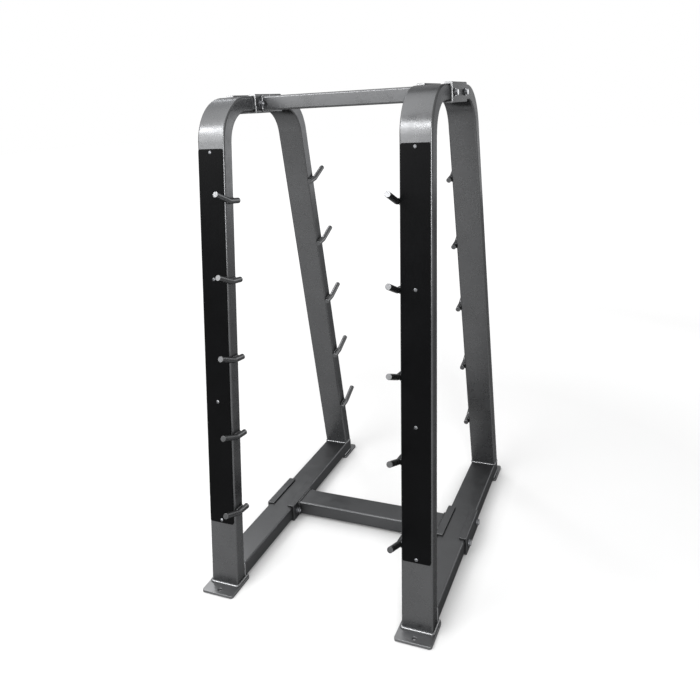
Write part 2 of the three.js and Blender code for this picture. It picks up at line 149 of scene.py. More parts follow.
def edge_rub(nodes, links, reach, low, high):
    """How far a point is a worn edge: 0 on a flat, 1 where two faces meet."""
    rounded = nodes.new("ShaderNodeBevel")
    rounded.samples = 4
    rounded.inputs["Radius"].default_value = reach
    true_face = nodes.new("ShaderNodeNewGeometry")
    agree = nodes.new("ShaderNodeVectorMath")
    agree.operation = "DOT_PRODUCT"
    links.new(rounded.outputs["Normal"], agree.inputs[0])
    links.new(true_face.outputs["Normal"], agree.inputs[1])
    return span(nodes, links, agree.outputs["Value"], high, low)


def press_relief(nodes, links, height, strength, depth, shader):
    """Gives a finish a fine relief that is too shallow to model."""
    bump = nodes.new("ShaderNodeBump")
    bump.inputs["Strength"].default_value = strength
    bump.inputs["Distance"].default_value = depth
    links.new(height, bump.inputs["Height"])
    links.new(bump.outputs["Normal"], shader.inputs["Normal"])


def powder_coat(name, grey=COAT_GREY, fleck=COAT_FLECK, dullness=COAT_DULLNESS, wear=EDGE_WEAR):
    """Metallic powder coat: fine flecks, a faint orange peel and edges rubbed a little bright."""
    coat, nodes, links, shader, place = new_finish(name)

    flecks = spun_noise(nodes, links, place, FLECK_FINENESS, detail=2.0, roughness=0.6)
    fleck_share = span(nodes, links, flecks, low=0.50, high=0.72)
    cloud = spun_noise(nodes, links, place, CLOUD_FINENESS, detail=3.0)
    cloud_share = span(nodes, links, cloud, low=0.3, high=0.7)
    thin = shade_of(grey, COAT_THIN)
    thick = shade_of(grey, COAT_THICK)
    ground = blend_colours(nodes, links, cloud_share, thin, thick)
    flecked = blend_colours(nodes, links, fleck_share, ground, fleck)

    rub = edge_rub(nodes, links, RUBBED_REACH, low=0.90, high=0.99)
    scuff = spun_noise(nodes, links, place, SCUFF_FINENESS, detail=3.0, roughness=0.6)
    least, most = wear
    scuff_share = span(nodes, links, scuff, low=0.30, high=0.70, to_low=least, to_high=most)
    worn = reckoned(nodes, links, "MULTIPLY", rub, scuff_share)
    colour = blend_colours(nodes, links, worn, flecked, COAT_RUBBED)
    links.new(colour, shader.inputs["Base Color"])

    haze = spun_noise(nodes, links, place, HAZE_FINENESS, detail=4.0, roughness=0.6)
    dull = span(nodes, links, haze, low=0.3, high=0.7, to_low=dullness - 0.05, to_high=dullness + 0.06)
    links.new(dull, shader.inputs["Roughness"])

    peel = spun_noise(nodes, links, place, PEEL_FINENESS, detail=2.0)
    press_relief(nodes, links, peel, PEEL_STRENGTH, PEEL_DEPTH, shader)

    shader.inputs["Metallic"].default_value = COAT_METAL
    shader.inputs["Specular Tint"].default_value = COAT_GRAZED
    shader.inputs["Specular IOR Level"].default_value = 0.0
    return coat


def shift(bm, verts, way):
    bmesh.ops.translate(bm, verts=verts, vec=way)


def swing(bm, verts, angle, axis):
    """Turns part of a shape about an axis through the middle."""
    bmesh.ops.rotate(bm, verts=verts, cent=(0, 0, 0), matrix=Matrix.Rotation(angle, 3, axis))


def take_off(bm, faces):
    """Takes faces away and leaves their edges."""
    bmesh.ops.delete(bm, geom=faces, context="FACES_ONLY")


def saw_off(bm, point, beyond):
    """Saws straight through the whole shape and drops what lies beyond the cut."""
    bmesh.ops.bisect_plane(
        bm,
        geom=bm.verts[:] + bm.edges[:] + bm.faces[:],
        plane_co=point,
        plane_no=beyond,
        clear_outer=True,
    )


def those_of(kind, parts):
    return [part for part in parts if isinstance(part, kind)]


def tube_outline(bm, wide, deep, corner):
    """A flat face with the rounded outline of the tube, drawn from a square metre."""
    made = bmesh.ops.create_grid(bm, x_segments=1, y_segments=1, size=0.5)
    bmesh.ops.scale(bm, verts=made["verts"], vec=(wide, deep, 1.0))
    bmesh.ops.bevel(
        bm,
        geom=made["verts"],
        offset=corner,
        offset_type="OFFSET",
        segments=TUBE_CORNER_STEPS,
        profile=0.5,
        affect="VERTICES",
        material=-1,
    )
    bm.faces.ensure_lookup_table()
    return bm.faces[0]


def open_behind(bm, face):
    """Takes away the face that a tube was drawn from, where it closes the way to the part before."""
    if all(len(edge.link_faces) > 2 for edge in face.edges):
        take_off(bm, [face])


def drawn_on(bm, face, way):
    """The face drawn along a straight line, leaving a tube behind it."""
    made = bmesh.ops.extrude_face_region(bm, geom=[face])
    end = those_of(bmesh.types.BMFace, made["geom"])[0]
    shift(bm, end.verts[:], way)
    open_behind(bm, face)
    return end


def bent_round(bm, face, centre, axis, angle, steps):
    """The face carried round a bend, leaving a bent tube behind it."""
    made = bmesh.ops.spin(
        bm,
        geom=[face],
        cent=centre,
        axis=axis,
        angle=angle,
        steps=steps,
        use_merge=False,
        use_duplicate=False,
    )
    open_behind(bm, face)
    return those_of(bmesh.types.BMFace, made["geom_last"])[0]


def hand_over(bm, name, finish, stands_for, crease=35.0):
    """Turns the finished shape into a piece of the rack."""
    bmesh.ops.recalc_face_normals(bm, faces=bm.faces[:])
    mesh = bpy.data.meshes.new(name)
    bm.to_mesh(mesh)
    bm.free()
    mesh.shade_smooth()
    mesh.set_sharp_from_angle(angle=math.radians(crease))
    mesh.materials.append(finish)
    piece = bpy.data.objects.new(name, mesh)
    bpy.context.scene.collection.objects.link(piece)
    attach(piece, "root")
    if stands_for:
        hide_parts(stands_for)
    return piece


def walled(piece, thickness):
    """Gives a shape drawn without a wall its wall, on the inside."""
    wall = piece.modifiers.new("wall", "SOLIDIFY")
    wall.thickness = thickness
    wall.offset = -1.0
    wall.use_even_offset = True
    return piece


def even_shading(piece):
    """Keeps flat faces flat beside rounded edges."""
    shading = piece.modifiers.new("even shading", "WEIGHTED_NORMAL")
    shading.keep_sharp = True
    shading.weight = 60
    return piece


def edges_broken(piece, width, steps):
    """Softens every sharp edge, as deburring or a mould does."""
    broken = piece.modifiers.new("broken edges", "BEVEL")
    broken.width = width
    broken.segments = steps
    broken.limit_method = "ANGLE"
    broken.angle_limit = math.radians(40)
    broken.use_clamp_overlap = False
    return piece


def half_frame(bm, lean, run, foot_level):
    """One leg, bent down from the middle of the level top and cut level at its foot."""
    outline = tube_outline(bm, TUBE_WIDE, TUBE_DEEP, TUBE_CORNER)
    swing(bm, outline.verts[:], QUARTER_TURN, "X")
    shift(bm, outline.verts[:], (0, 0, FRAME_TOP))
    at_bend = drawn_on(bm, outline, (0, -run, 0))
    centre = (0, -run, FRAME_TOP - BEND_RADIUS)
    at_leg = bent_round(bm, at_bend, centre, (1, 0, 0), QUARTER_TURN - lean, BEND_STEPS)
    way_down = Vector((0, -math.sin(lean), -math.cos(lean)))
    foot = drawn_on(bm, at_leg, way_down * (FRAME_TOP / math.cos(lean)))
    take_off(bm, [foot])
    take_off(bm, [face for face in bm.faces if all(abs(v.co.y) < TOUCHING for v in face.verts)])
    saw_off(bm, (0, 0, foot_level), (0, 0, -1))


def top_run(lean, foot_face, foot_level):
    """Where the level top meets the bend, from the foot of the leg's outer face."""
    half = TUBE_DEEP / 2
    inwards = half * math.cos(lean)
    level = foot_level - half * math.sin(lean)
    corner = inwards + (FRAME_TOP - level) * math.tan(lean)
    return foot_face + corner + BEND_RADIUS * math.tan(math.pi / 4 - lean / 2)


top_front = top_run(FRONT_LEAN, FRONT_FACE, RAIL_BOTTOM)
top_rear = -top_run(REAR_LEAN, -REAR_FACE, REAR_LEG_BOTTOM)
top_middle = (top_front + top_rear) / 2
half_run = (top_rear - top_front) / 2

frame_coat = powder_coat("grey metallic powder coat")

for side, outward in SIDES:
    bm = bmesh.new()
    half_frame(bm, REAR_LEAN, half_run, REAR_LEG_BOTTOM)
    swing(bm, bm.verts[:], HALF_TURN, "Z")
    rear_half = bpy.data.meshes.new("rear half")
    bm.to_mesh(rear_half)
    bm.free()
    bm = bmesh.new()
    half_frame(bm, FRONT_LEAN, half_run, RAIL_BOTTOM)
    bm.from_mesh(rear_half)
    bpy.data.meshes.remove(rear_half)
    bmesh.ops.remove_doubles(bm, verts=bm.verts[:], dist=JOINED_WITHIN)
    shift(bm, bm.verts[:], (outward * FRAME_X, top_middle, 0))
    piece = hand_over(bm, f"bent_frame_{side}", frame_coat, f"arch_{side}")
    even_shading(walled(piece, TUBE_WALL))


# Base rails. A straight length of the same tube lies on the foot plates and ties the two legs
# together. Its front end is coped to the back of the leaning front leg, and the rear leg stands on
# its top. No bar touches it, so its coat is duller and its edges are hardly rubbed.

RAIL_MIDDLE = RAIL_BOTTOM + TUBE_DEEP / 2
RAIL_END = 0.5182
COPE_GAP = 0.0003
# A darker grey than the frame's coat, painted as shade on the parts near the floor.
BASE_SHADE_GREY = (0.072, 0.073, 0.075, 1.0)
BASE_SHADE_FLECK = (0.096, 0.098, 0.101, 1.0)
BASE_DULLNESS = 0.38
BASE_EDGE_WEAR = (0.04, 0.16)

base_coat_painted_shade = powder_coat(
    "grey powder coat near the floor, painted darker as shade", BASE_SHADE_GREY, BASE_SHADE_FLECK, BASE_DULLNESS, BASE_EDGE_WEAR
)


def on_front_leg(x):
    """The front leg's own frame: up is along the leg, and back is square into it."""
    return Matrix.Translation((x, FRONT_FACE, RAIL_BOTTOM)) @ Matrix.Rotation(-FRONT_LEAN, 4, "X")


for side, outward in SIDES:
    x = outward * FRAME_X
    bm = bmesh.new()
    outline = tube_outline(bm, TUBE_WIDE, TUBE_DEEP, TUBE_CORNER)
    swing(bm, outline.verts[:], QUARTER_TURN, "X")
    shift(bm, outline.verts[:], (x, FRONT_FACE, RAIL_MIDDLE))
    far_end = drawn_on(bm, outline, (0, RAIL_END - FRONT_FACE, 0))
    take_off(bm, [far_end])
    leg = on_front_leg(x)
    saw_off(bm, leg @ Vector((0, TUBE_DEEP + COPE_GAP, 0)), leg.to_3x3() @ Vector((0, -1, 0)))
    piece = hand_over(bm, f"floor_rail_{side}", base_coat_painted_shade, f"base_rail_{side}")
    even_shading(walled(piece, TUBE_WALL))


# Rail end plugs. A moulded black plastic plug closes the open rear end of each rail. Its lip has
# the outline of the tube with a softened edge, and its hollow skirt is pushed inside the wall.

PLUG_LIP = 0.003
PLUG_SKIRT = 0.018
PLUG_WALL = 0.0022
PLUG_FIT = 0.0004
PLUG_EDGE = 0.0008
PLUG_EDGE_STEPS = 3
PLUG_BLACK = (0.016, 0.0165, 0.018, 1.0)
PLASTIC_FADED = 1.7
PLASTIC_PALE = 5.0
PLASTIC_RUBBED_REACH = 0.0012
FLOW_FINENESS = 9.0
MARK_FINENESS = 240.0
MARK_STRETCH = (1.0, 1.0, 0.08)
GRAIN_DEPTH = 0.0002


def moulded_plastic(name, black, dullness, grain_fineness, grain_strength, sheen):
    """Moulded black plastic with a fine grain, faint flow marks and rubbed, paler edges."""
    plastic, nodes, links, shader, place = new_finish(name)

    flow = spun_noise(nodes, links, place, FLOW_FINENESS, detail=4.0, roughness=0.55)
    flow_share = span(nodes, links, flow, low=0.3, high=0.7)
    ground = blend_colours(nodes, links, flow_share, black, shade_of(black, PLASTIC_FADED))
    rub = edge_rub(nodes, links, PLASTIC_RUBBED_REACH, low=0.88, high=0.99)
    colour = blend_colours(nodes, links, rub, ground, shade_of(black, PLASTIC_PALE))
    links.new(colour, shader.inputs["Base Color"])

    stretch = nodes.new("ShaderNodeMapping")
    stretch.inputs["Scale"].default_value = MARK_STRETCH
    links.new(place, stretch.inputs["Vector"])
    marks = spun_noise(nodes, links, stretch.outputs["Vector"], MARK_FINENESS, detail=3.0, roughness=0.7)
    dull = span(nodes, links, marks, low=0.3, high=0.75, to_low=dullness - 0.06, to_high=dullness + 0.10)
    links.new(dull, shader.inputs["Roughness"])

    pebble = spun_noise(nodes, links, place, grain_fineness, detail=2.0)
    press_relief(nodes, links, pebble, grain_strength, GRAIN_DEPTH, shader)
    shader.inputs["Specular IOR Level"].default_value = sheen
    return plastic


plug_plastic = moulded_plastic(
    "moulded plug plastic",
    PLUG_BLACK,
    dullness=0.42,
    grain_fineness=900.0,
    grain_strength=0.3,
    sheen=0.4,
)

skirt_long = PLUG_SKIRT - PLUG_LIP / 2
for side, outward in SIDES:
    bm = bmesh.new()
    lip = tube_outline(bm, TUBE_WIDE, TUBE_DEEP, TUBE_CORNER)
    bmesh.ops.recalc_face_normals(bm, faces=[lip])
    back = drawn_on(bm, lip, (0, 0, PLUG_LIP))
    bmesh.ops.inset_region(bm, faces=[back], thickness=TUBE_WALL + PLUG_FIT, use_even_offset=True)
    skirt_end = drawn_on(bm, back, (0, 0, skirt_long))
    bmesh.ops.inset_region(bm, faces=[skirt_end], thickness=PLUG_WALL, use_even_offset=True)
    drawn_on(bm, skirt_end, (0, 0, -skirt_long))
    swing(bm, bm.verts[:], QUARTER_TURN, "X")
    shift(bm, bm.verts[:], (outward * FRAME_X, REAR_FACE, RAIL_MIDDLE))
    piece = hand_over(bm, f"rail_plug_{side}", plug_plastic, f"rail_end_cap_{side}")
    even_shading(edges_broken(piece, PLUG_EDGE, PLUG_EDGE_STEPS))


# Foot plates. Four squares of steel plate with rounded corners, welded under the corners of the
# rack. Each sticks out past the frame, with one drilled hole for an anchor, and its edges are
# deburred.

FOOT_SIDE = 0.120
FOOT_THICKNESS = 0.0095
FOOT_CORNER = 0.009
FOOT_TOE = 0.051
FOOT_HEEL = 0.040
FOOT_EDGE = 0.0008
FOOT_EDGE_STEPS = 2
ANCHOR_HOLE = 0.014
ANCHOR_INSET = 0.020
HOLE_STEPS = 32
COLLAR = 0.0018
# A lighter grey than the frame's coat, painted as light on the plates' upward faces.
FOOT_LIT_GREY = (0.138, 0.1395, 0.142, 1.0)
FOOT_LIT_FLECK = (0.17, 0.172, 0.176, 1.0)

foot_coat_painted_light = powder_coat("foot plate coat painted lighter as light on it", FOOT_LIT_GREY, FOOT_LIT_FLECK, dullness=0.33)


def rim_of(made):
    """The edges round a circle that was just drawn, in the same order on every run."""
    return list(dict.fromkeys(edge for vert in made["verts"] for edge in vert.link_edges))


def punched_sheet(bm, wide, long, corner, holes, hole_size):
    """A flat sheet in the XY plane with rounded corners and round holes in it."""
    take_off(bm, [tube_outline(bm, wide, long, corner)])
    borders = bm.edges[:]
    for x, y in holes:
        centre = Matrix.Translation((x, y, 0))
        rims = []
        for radius in (hole_size / 2, hole_size / 2 + COLLAR):
            made = bmesh.ops.create_circle(
                bm, cap_ends=False, segments=HOLE_STEPS, radius=radius, matrix=centre
            )
            rims.append(rim_of(made))
        borders += rims[1]
        bmesh.ops.bridge_loops(bm, edges=rims[0] + rims[1])
    bmesh.ops.triangle_fill(bm, use_beauty=True, use_dissolve=False, edges=borders, normal=(0, 0, 1))


def thicken(bm, faces, way):
    """Gives a sheet, or part of it, its thickness by drawing it along one line."""
    made = bmesh.ops.extrude_face_region(bm, geom=faces)
    shift(bm, those_of(bmesh.types.BMVert, made["geom"]), way)


front_foot_y = FRONT_FACE - FOOT_TOE + FOOT_SIDE / 2
rear_foot_y = REAR_FACE + FOOT_HEEL - FOOT_SIDE / 2
anchor = (0.0, ANCHOR_INSET - FOOT_SIDE / 2)
for side, outward in SIDES:
    for end, foot_y, turn in (("front", front_foot_y, 0.0), ("rear", rear_foot_y, HALF_TURN)):
        bm = bmesh.new()
        punched_sheet(bm, FOOT_SIDE, FOOT_SIDE, FOOT_CORNER, [anchor], ANCHOR_HOLE)
        thicken(bm, bm.faces[:], (0, 0, FOOT_THICKNESS))
        swing(bm, bm.verts[:], turn, "Z")
        shift(bm, bm.verts[:], (outward * FRAME_X, foot_y, 0))
        node = f"foot_plate_{end}_{side}"
        piece = hand_over(bm, f"footing_{end}_{side}", foot_coat_painted_light, node)
        even_shading(edges_broken(piece, FOOT_EDGE, FOOT_EDGE_STEPS))


# Welds at the feet. The legs and rails are welded to the foot plates and to each other with a
# rippled fillet bead, laid before the rack was powder coated. Their coat is painted a lighter grey
# than the frame's, as a painted highlight along the beads. The bead round the front foot is the
# heaviest.

BEAD_SIZE = 0.0042
TOE_BEAD_SIZE = 0.0060
BEAD_SIDES = 8
BEAD_WAIST = 0.80
BEAD_TIP = 0.45
RIPPLE = 0.0038
CORNER_STOPS = 5
OFF_FACE = 0.0012
OFF_LEG = 0.0016
OFF_RAIL = 0.0008
OFF_TOE_PLATE = 0.0018
OFF_HEEL_PLATE = 0.0020
BEAD_TURN = 0.006
BEAD_DIP = 0.001
LEG_WELD_START = 0.004
FRONT_PLATE_MARGIN = 0.002
REAR_LEG_MARGIN = 0.006
REAR_PLATE_MARGIN = 0.003
RAIL_END_MARGIN = 0.004
ROUND_ALL_OVER = 180.0
# A lighter grey than the frame's coat, a painted highlight along the weld beads.
BEAD_HIGHLIGHT_GREY = (0.16, 0.162, 0.166, 1.0)
BEAD_HIGHLIGHT_FLECK = (0.23, 0.233, 0.237, 1.0)
ALONG_X = Vector((1, 0, 0))
ALONG_Y = Vector((0, 1, 0))
ALONG_Z = Vector((0, 0, 1))

bead_coat_painted_highlight = powder_coat("weld bead coat painted light as a highlight", BEAD_HIGHLIGHT_GREY, BEAD_HIGHLIGHT_FLECK, dullness=0.26)


def stops_along(corners, pitch):
    """Points at an even pitch along a line through the given corners."""
    stops = [corners[0].copy()]
    left_over = 0.0
    for start, end in zip(corners, corners[1:]):
        length = (end - start).length
        if length < TOUCHING:
            continue
        way = (end - start) / length
        at = pitch - left_over
        while at <= length:
            stops.append(start + way * at)
            at += pitch
        left_over = length - (at - pitch)
    return stops


def corner_arc(centre, radius, start, end, across, up):
    """Points round the corner of a joint, between two angles in the plane of two directions."""
    arc = []
    for step in range(CORNER_STOPS + 1):
        angle = math.radians(start + (end - start) * step / CORNER_STOPS)
        arc.append(centre + across * (radius * math.cos(angle)) + up * (radius * math.sin(angle)))
    return arc


def lay_bead(bm, corners, size=BEAD_SIZE):
    """A weld bead along a line: rings that swell and narrow once in every ripple."""
    stops = stops_along(corners, RIPPLE / 2)
    rings = []
    for count, stop in enumerate(stops):
        before = stops[max(count - 1, 0)]
        after = stops[min(count + 1, len(stops) - 1)]
        facing = (after - before).to_track_quat("Z", "Y").to_matrix().to_4x4()
        swell = 1.0 if count % 2 else BEAD_WAIST
        if count in (0, len(stops) - 1):
            swell = BEAD_TIP
        placed = Matrix.Translation(stop) @ facing
        made = bmesh.ops.create_circle(
            bm, cap_ends=False, segments=BEAD_SIDES, radius=size * swell, matrix=placed
        )
        rings.append(rim_of(made))
    for first, second in zip(rings, rings[1:]):
        bmesh.ops.bridge_loops(bm, edges=first + second)
    for ring in (rings[0], rings[-1]):
        bmesh.ops.edgeloop_fill(bm, edges=ring)


for side, outward in SIDES:
    x = outward * FRAME_X
    bm = bmesh.new()
    reach = TUBE_WIDE / 2 + OFF_FACE
    level = FOOT_THICKNESS + OFF_TOE_PLATE
    plate_back = front_foot_y + FOOT_SIDE / 2 - FRONT_PLATE_MARGIN
    toe_line = FRONT_FACE - OFF_FACE
    turn = TUBE_CORNER + OFF_FACE
    front_right = Vector((x + reach - turn, toe_line + turn, level))
    front_left = Vector((x - reach + turn, toe_line + turn, level))
    path = [Vector((x + reach, plate_back, level))]
    path += corner_arc(front_right, turn, 0, -90, ALONG_X, ALONG_Y)
    path += corner_arc(front_left, turn, -90, -180, ALONG_X, ALONG_Y)
    path += [Vector((x - reach, plate_back, level))]
    lay_bead(bm, path, TOE_BEAD_SIZE)
    hand_over(bm, f"weld_front_foot_{side}", bead_coat_painted_highlight, None, ROUND_ALL_OVER)

    bm = bmesh.new()
    leg = on_front_leg(x)
    lean_up = leg.to_3x3() @ ALONG_Z
    at = TUBE_WIDE / 2 - OFF_FACE
    tilt = TUBE_DEEP * math.sin(FRONT_LEAN)
    low = (LEG_WELD_START + tilt) / math.cos(FRONT_LEAN)
    high = (TUBE_DEEP + OFF_RAIL + tilt) / math.cos(FRONT_LEAN)
    into = TUBE_DEEP + OFF_LEG
    right_turn = leg @ Vector((at - BEAD_TURN, into, high - BEAD_TURN))
    left_turn = leg @ Vector((BEAD_TURN - at, into, high - BEAD_TURN))
    path = [leg @ Vector((at, into, low))]
    path += corner_arc(right_turn, BEAD_TURN, 0, 90, ALONG_X, lean_up)
    path += corner_arc(left_turn, BEAD_TURN, 90, 180, ALONG_X, lean_up)
    path += [leg @ Vector((-at, into, low))]
    lay_bead(bm, path)
    hand_over(bm, f"weld_rail_to_leg_{side}", bead_coat_painted_highlight, None, ROUND_ALL_OVER)

    bm = bmesh.new()
    back = REAR_FACE - REAR_LEG_MARGIN
    front = REAR_FACE - TUBE_DEEP / math.cos(REAR_LEAN) - OFF_FACE
    level = RAIL_TOP + OFF_RAIL
    right_turn = Vector((x + at - BEAD_TURN, front + BEAD_TURN, level))
    left_turn = Vector((x - at + BEAD_TURN, front + BEAD_TURN, level))
    path = [Vector((x + at, back, level - BEAD_DIP))]
    path += corner_arc(right_turn, BEAD_TURN, 0, -90, ALONG_X, ALONG_Y)
    path += corner_arc(left_turn, BEAD_TURN, -90, -180, ALONG_X, ALONG_Y)
    path += [Vector((x - at, back, level - BEAD_DIP))]
    lay_bead(bm, path)
    hand_over(bm, f"weld_rear_leg_{side}", bead_coat_painted_highlight, None, ROUND_ALL_OVER)

    bm = bmesh.new()
    plate_front = rear_foot_y - FOOT_SIDE / 2 + REAR_PLATE_MARGIN
    level = FOOT_THICKNESS + OFF_HEEL_PLATE
    for across in (TUBE_WIDE / 2 - OFF_LEG, OFF_LEG - TUBE_WIDE / 2):
        start = Vector((x + across, plate_front, level))
        stop = Vector((x + across, RAIL_END - RAIL_END_MARGIN, level))
        lay_bead(bm, [start, stop])
    hand_over(bm, f"weld_rear_foot_{side}", bead_coat_painted_highlight, None, ROUND_ALL_OVER)


# Saddles. Eight short steel channels hug the tubes where the crossbars are bolted on, one on each
# side of the tube. They are folded from 7 mm plate, drilled twice and coated before they were
# fitted. The end faces of the top saddles are painted much lighter, as a painted highlight.

SADDLE_LONG = 0.190
SADDLE_REACH = 0.028
SADDLE_PLATE = 0.007
SADDLE_CORNER = 0.004
SADDLE_CORNER_STEPS = 6
SADDLE_EDGE = 0.0016
SADDLE_EDGE_STEPS = 3
SEAT = 0.0003
BOLT_OFFSET = 0.067
BOLT_HOLE = 0.013
SQUARE_ON = 0.9
# A much lighter grey for the end faces of the top saddles: a painted highlight.
SADDLE_END_HIGHLIGHT_GREY = (0.25, 0.252, 0.256, 1.0)
SADDLE_END_HIGHLIGHT_FLECK = (0.32, 0.323, 0.327, 1.0)

saddle_coat = powder_coat("grey powder coat on saddles", dullness=0.26)
saddle_end_highlight = powder_coat("top saddle end faces painted light as a highlight", SADDLE_END_HIGHLIGHT_GREY, SADDLE_END_HIGHLIGHT_FLECK, dullness=0.34)

floor_middle = FRONT_FACE + (REAR_FACE - FRONT_FACE) / 2
joints = (("top", top_middle, FRAME_TOP), ("bottom", floor_middle, RAIL_MIDDLE))
web_inside = TUBE_WIDE / 2 + SEAT
web_outside = web_inside + SADDLE_PLATE
leg_inside = TUBE_DEEP / 2 + SEAT
leg_outside = leg_inside + SADDLE_PLATE


def on_fold(edge):
    """Whether an edge is the outer corner between the web and a leg."""
    return all(
        abs(abs(v.co.x) - leg_outside) < TOUCHING and abs(v.co.z - SADDLE_PLATE) < TOUCHING
        for v in edge.verts
    )


def under_leg(face):
    """Whether a face is one that a leg is drawn down from."""
    middle = face.calc_center_median()
    return abs(middle.x) > leg_inside and abs(middle.z) < TOUCHING and abs(face.normal.z) > SQUARE_ON


def folded_saddle(bm):
    """A channel on the +X side of a tube that runs along Y."""
    holes = [(0, -BOLT_OFFSET), (0, BOLT_OFFSET)]
    punched_sheet(bm, 2 * leg_inside, SADDLE_LONG, 0.0, holes, BOLT_HOLE)
    for way in (-1, 1):
        edge = [e for e in bm.edges if all(abs(v.co.x - way * leg_inside) < TOUCHING for v in e.verts)]
        made = bmesh.ops.extrude_edge_only(bm, edges=edge)
        shift(bm, those_of(bmesh.types.BMVert, made["geom"]), (way * SADDLE_PLATE, 0, 0))
    bmesh.ops.recalc_face_normals(bm, faces=bm.faces[:])
    thicken(bm, bm.faces[:], (0, 0, SADDLE_PLATE))
    strips = [face for face in bm.faces if under_leg(face)]
    thicken(bm, strips, (0, 0, SADDLE_PLATE - SADDLE_REACH))
    take_off(bm, strips)
    bmesh.ops.bevel(
        bm,
        geom=[edge for edge in bm.edges if on_fold(edge)],
        offset=SADDLE_CORNER,
        offset_type="OFFSET",
        segments=SADDLE_CORNER_STEPS,
        profile=0.5,
        affect="EDGES",
        material=-1,
    )
    stand = Matrix(((0, 0, 1), (0, 1, 0), (-1, 0, 0)))
    bmesh.ops.rotate(bm, verts=bm.verts[:], cent=(0, 0, 0), matrix=stand)
    shift(bm, bm.verts[:], (web_inside, 0, 0))


for side, outward in SIDES:
    for level, y, z in joints:
        # The bottom saddles take the floor coat, its grey painted darker as shade.
        coat = saddle_coat if level == "top" else base_coat_painted_shade
        for place, facing in (("inner", -outward), ("outer", outward)):
            bm = bmesh.new()
            folded_saddle(bm)
            swing(bm, bm.verts[:], 0.0 if facing > 0 else HALF_TURN, "Z")
            shift(bm, bm.verts[:], (outward * FRAME_X, y, z))
            node = f"{level}_{place}_saddle_{side}"
            piece = hand_over(bm, f"{level}_{place}_channel_{side}", coat, node)
            piece.data.materials.append(saddle_end_highlight)
            # The end faces of the top saddles take the lighter grey, a painted highlight.
            for face in piece.data.polygons:
                if level == "top" and abs(face.normal.y) > SQUARE_ON:
                    face.material_index = 1
            even_shading(edges_broken(piece, SADDLE_EDGE, SADDLE_EDGE_STEPS))


# Crossbars. Two lengths of the frame tube lie flat between the inner saddles, one at the top and
# one at the floor. Each end is welded all round to the web of its saddle, so the bolts carry the
# joint.

CROSSBAR_HALF = 0.2894
WELD_FROM_END = 0.0014
WELD_OVERLAP = 0.001

turn = TUBE_CORNER + OFF_FACE
half_wide = TUBE_WIDE / 2 + OFF_FACE - turn
half_deep = TUBE_DEEP / 2 + OFF_FACE - turn

# The top end welds take the bead coat painted light as a highlight; the bottom ones take the floor coat
# painted darker as shade.
for (level, y, z), coat, weld_coat in zip(joints, (frame_coat, base_coat_painted_shade), (bead_coat_painted_highlight, base_coat_painted_shade)):
    name = f"{level}_crossbar"
    bm = bmesh.new()
    outline = tube_outline(bm, TUBE_WIDE, TUBE_DEEP, TUBE_CORNER)
    swing(bm, outline.verts[:], QUARTER_TURN, "X")
    swing(bm, outline.verts[:], QUARTER_TURN, "Z")
    shift(bm, outline.verts[:], (-CROSSBAR_HALF, y, z))
    drawn_on(bm, outline, (2 * CROSSBAR_HALF, 0, 0))
    ends = [f for f in bm.faces if abs(abs(f.calc_center_median().x) - CROSSBAR_HALF) < TOUCHING]
    take_off(bm, ends)
    piece = hand_over(bm, f"{name}_tube", coat, name)
    even_shading(walled(piece, TUBE_WALL))

    for side, facing in SIDES:
        bm = bmesh.new()
        x = facing * (CROSSBAR_HALF - WELD_FROM_END)
        path = [Vector((x, y, z + half_deep + turn))]
        for across, up, start in ((1, 1, 90), (1, -1, 0), (-1, -1, -90), (-1, 1, -180)):
            centre = Vector((x, y + across * half_wide, z + up * half_deep))
            path += corner_arc(centre, turn, start, start - 90, ALONG_Y, ALONG_Z)
        path += [Vector((x, y - WELD_OVERLAP, z + half_deep + turn))]
        lay_bead(bm, path)
        hand_over(bm, f"weld_{name}_{side}", weld_coat, None, ROUND_ALL_OVER)


# Through bolts. Eight bright zinc plated M12 bolts clamp the saddles through the tubes, two at each
# joint. The chamfered hexagon head and a washer sit on the outer side, a washer and the nut on the
# inner.

BOLT_ACROSS = 0.012
BOLT_STEPS = 24
BOLT_TAIL = 0.004
BOLT_CREASE = 28.0
HEAD_FLATS = 0.019
HEAD_HIGH = 0.0075
NUT_HIGH = 0.010
HEXAGON_STEPS = 36
HEXAGON_CROWN = 0.95
HEXAGON_CHAMFER = math.radians(30)
WASHER_ACROSS = 0.024
WASHER_THICK = 0.0025
WASHER_EDGE = 0.0004
WASHER_STEPS = 40
THREAD_PITCH = 0.00175
THREAD_DEEP = 0.0009
THREAD_PAST_NUT = 0.004
THREAD_TIP = 0.0013
THREAD_RUN_OUT = 0.0012
ZINC = (0.25, 0.254, 0.265, 1.0)
ZINC_DULL = (0.12, 0.123, 0.13, 1.0)
ZINC_CLOUD_FINENESS = 180.0
TOOL_MARK_FINENESS = 900.0
TOOL_MARK_STRENGTH = 0.25
TOOL_MARK_DEPTH = 0.00015


def zinc_plating(name, bright, dull):
    """Bright zinc plating: clouded with duller patches, and with fine tool marks."""
    plating, nodes, links, shader, place = new_finish(name)
    cloud = spun_noise(nodes, links, place, ZINC_CLOUD_FINENESS, detail=4.0, roughness=0.6)
    cloud_share = span(nodes, links, cloud, low=0.35, high=0.68)
    colour = blend_colours(nodes, links, cloud_share, bright, dull)
    links.new(colour, shader.inputs["Base Color"])
    marks = spun_noise(nodes, links, place, TOOL_MARK_FINENESS, detail=3.0, roughness=0.6)
    dullness = span(nodes, links, marks, low=0.3, high=0.7, to_low=0.32, to_high=0.48)
    links.new(dullness, shader.inputs["Roughness"])
    press_relief(nodes, links, marks, TOOL_MARK_STRENGTH, TOOL_MARK_DEPTH, shader)
    shader.inputs["Metallic"].default_value = 1.0
    return plating


